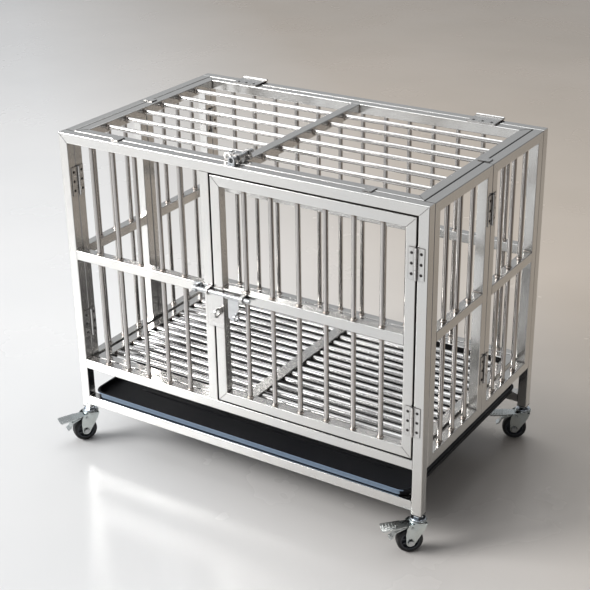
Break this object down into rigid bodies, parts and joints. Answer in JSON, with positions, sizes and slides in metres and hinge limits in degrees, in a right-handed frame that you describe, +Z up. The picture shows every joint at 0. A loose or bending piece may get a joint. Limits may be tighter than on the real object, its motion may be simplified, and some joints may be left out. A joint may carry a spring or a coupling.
{
  "type": "kennel cage",
  "caption": "Folding steel kennel cage with a front door, hinged lid, lift-out floor grate, pull-out tray and braked swivel casters.",
  "frame": {"origin": "on the floor, below the middle of the overall box", "axes": "+Z up, the door and tray face -Y, +X to the right of someone who faces the door"},
  "size_m": [0.8542, 0.5552, 0.694],
  "materials": {
    "frame_steel": "polished stainless square tube with a faint draw grain",
    "bar_steel": "polished stainless round bar",
    "floor_steel": "polished stainless floor bars",
    "hinge_steel": "satin stainless plate",
    "bolt_steel": "bright zinc plated steel",
    "plug_plastic": "black moulded plastic",
    "tray_plastic": "black moulded plastic with a light sheen",
    "caster_zinc": "zinc plated pressed steel",
    "axle_steel": "bright steel",
    "tyre_rubber": "black rubber, satin",
    "hub_plastic": "dark grey moulded plastic",
    "pedal_steel": "zinc plated pressed steel"
  },
  "bodies": {
    "cage": {"front_frame": "frame_steel", "front_bars": "bar_steel", "rear_frame": "frame_steel", "rear_bars": "bar_steel", "left_front_leaf": "frame_steel", "left_rear_leaf": "frame_steel", "right_front_leaf": "frame_steel", "right_rear_leaf": "frame_steel", "left_side_bars": "bar_steel", "right_side_bars": "bar_steel", "corner_hinge_leaves": "hinge_steel", "mid_hinge_leaves": "hinge_steel", "fold_hinge_pins": "bolt_steel", "cage_rivets": "bolt_steel", "door_hinge_post_leaves": "hinge_steel", "door_hinge_pins": "bolt_steel", "door_bolt_keeper": "bolt_steel", "lid_hinge_rail_leaves": "hinge_steel", "lid_hinge_pins": "bolt_steel", "lid_bolt_keeper": "bolt_steel", "floor_rest_lugs": "floor_steel", "post_plugs": "plug_plastic", "caster_stems": "caster_zinc"},
    "door": {"door_frame": "frame_steel", "door_bars": "bar_steel", "door_hinge_leaves": "hinge_steel", "door_rivets": "bolt_steel", "door_latch_plate": "hinge_steel"},
    "door_bolt": {"door_bolt": "bolt_steel"},
    "lid": {"lid_frame": "frame_steel", "lid_bars": "bar_steel", "lid_hinge_straps": "hinge_steel", "lid_rivets": "bolt_steel", "lid_rest_tabs": "hinge_steel", "lid_latch_plate": "hinge_steel"},
    "lid_bolt": {"lid_bolt": "bolt_steel"},
    "floor_grate": {"grate_frame": "floor_steel", "grate_bars": "floor_steel", "grate_strip": "floor_steel"},
    "tray": {"tray": "tray_plastic"},
    "swivel_fl": {"fork_fl": "caster_zinc", "axle_fl": "axle_steel"},
    "wheel_fl": {"tyre_fl": "tyre_rubber", "hub_fl": "hub_plastic"},
    "brake_fl": {"pedal_fl": "pedal_steel"},
    "swivel_fr": {"fork_fr": "caster_zinc", "axle_fr": "axle_steel"},
    "wheel_fr": {"tyre_fr": "tyre_rubber", "hub_fr": "hub_plastic"},
    "brake_fr": {"pedal_fr": "pedal_steel"},
    "swivel_rr": {"fork_rr": "caster_zinc", "axle_rr": "axle_steel"},
    "wheel_rr": {"tyre_rr": "tyre_rubber", "hub_rr": "hub_plastic"},
    "brake_rr": {"pedal_rr": "pedal_steel"},
    "swivel_rl": {"fork_rl": "caster_zinc", "axle_rl": "axle_steel"},
    "wheel_rl": {"tyre_rl": "tyre_rubber", "hub_rl": "hub_plastic"},
    "brake_rl": {"pedal_rl": "pedal_steel"}
  },
  "joints": [
    {"name": "door_hinge", "type": "hinge", "parent": "cage", "child": "door", "pos_m": [0.39513, -0.22584, 0.423], "axis": [0, 0, 1], "range_deg": [0, 175]},
    {"name": "door_bolt_slide", "type": "slide", "parent": "door", "child": "door_bolt", "axis": [-1, 0, 0], "range_m": [0, 0.018]},
    {"name": "lid_hinge", "type": "hinge", "parent": "cage", "child": "lid", "pos_m": [0.01663, 0.27016, 0.6814], "axis": [-1, 0, 0], "range_deg": [0, 265]},
    {"name": "lid_bolt_slide", "type": "slide", "parent": "lid", "child": "lid_bolt", "axis": [0, -1, 0], "range_m": [0, 0.009]},
    {"name": "tray_slide", "type": "slide", "parent": "cage", "child": "tray", "axis": [0, -1, 0], "range_m": [0, 0.45]},
    {"name": "floor_grate_lift", "type": "slide", "parent": "cage", "child": "floor_grate", "axis": [0, 0, 1], "range_m": [0, 0.45]},
    {"name": "swivel_fl_turn", "type": "hinge", "parent": "cage", "child": "swivel_fl", "pos_m": [-0.37337, -0.21284, 0.065], "axis": [0, 0, 1], "continuous": true},
    {"name": "wheel_fl_spin", "type": "hinge", "parent": "swivel_fl", "child": "wheel_fl", "pos_m": [-0.38185, -0.22641, 0.025], "axis": [0.848, -0.5299, 0], "continuous": true},
    {"name": "brake_fl_pedal", "type": "hinge", "parent": "swivel_fl", "child": "brake_fl", "pos_m": [-0.38026, -0.22387, 0.0555], "axis": [0.848, -0.5299, 0], "range_deg": [0, 10]},
    {"name": "swivel_fr_turn", "type": "hinge", "parent": "cage", "child": "swivel_fr", "pos_m": [0.40663, -0.21284, 0.065], "axis": [0, 0, 1], "continuous": true},
    {"name": "wheel_fr_spin", "type": "hinge", "parent": "swivel_fr", "child": "wheel_fr", "pos_m": [0.39474, -0.22355, 0.025], "axis": [0.6691, -0.7431, 0], "continuous": true},
    {"name": "brake_fr_pedal", "type": "hinge", "parent": "swivel_fr", "child": "brake_fr", "pos_m": [0.39697, -0.22154, 0.0555], "axis": [0.6691, -0.7431, 0], "range_deg": [0, 10]},
    {"name": "swivel_rr_turn", "type": "hinge", "parent": "cage", "child": "swivel_rr", "pos_m": [0.40663, 0.25716, 0.065], "axis": [0, 0, 1], "continuous": true},
    {"name": "wheel_rr_spin", "type": "hinge", "parent": "swivel_rr", "child": "wheel_rr", "pos_m": [0.39213, 0.2504, 0.025], "axis": [0.4226, -0.9063, 0], "continuous": true},
    {"name": "brake_rr_pedal", "type": "hinge", "parent": "swivel_rr", "child": "brake_rr", "pos_m": [0.39485, 0.25167, 0.0555], "axis": [0.4226, -0.9063, 0], "range_deg": [0, 10]},
    {"name": "swivel_rl_turn", "type": "hinge", "parent": "cage", "child": "swivel_rl", "pos_m": [-0.37337, 0.25716, 0.065], "axis": [0, 0, 1], "continuous": true},
    {"name": "wheel_rl_spin", "type": "hinge", "parent": "swivel_rl", "child": "wheel_rl", "pos_m": [-0.38366, 0.2449, 0.025], "axis": [0.766, -0.6428, 0], "continuous": true},
    {"name": "brake_rl_pedal", "type": "hinge", "parent": "swivel_rl", "child": "brake_rl", "pos_m": [-0.38173, 0.2472, 0.0555], "axis": [0.766, -0.6428, 0], "range_deg": [0, 10]}
  ]
}
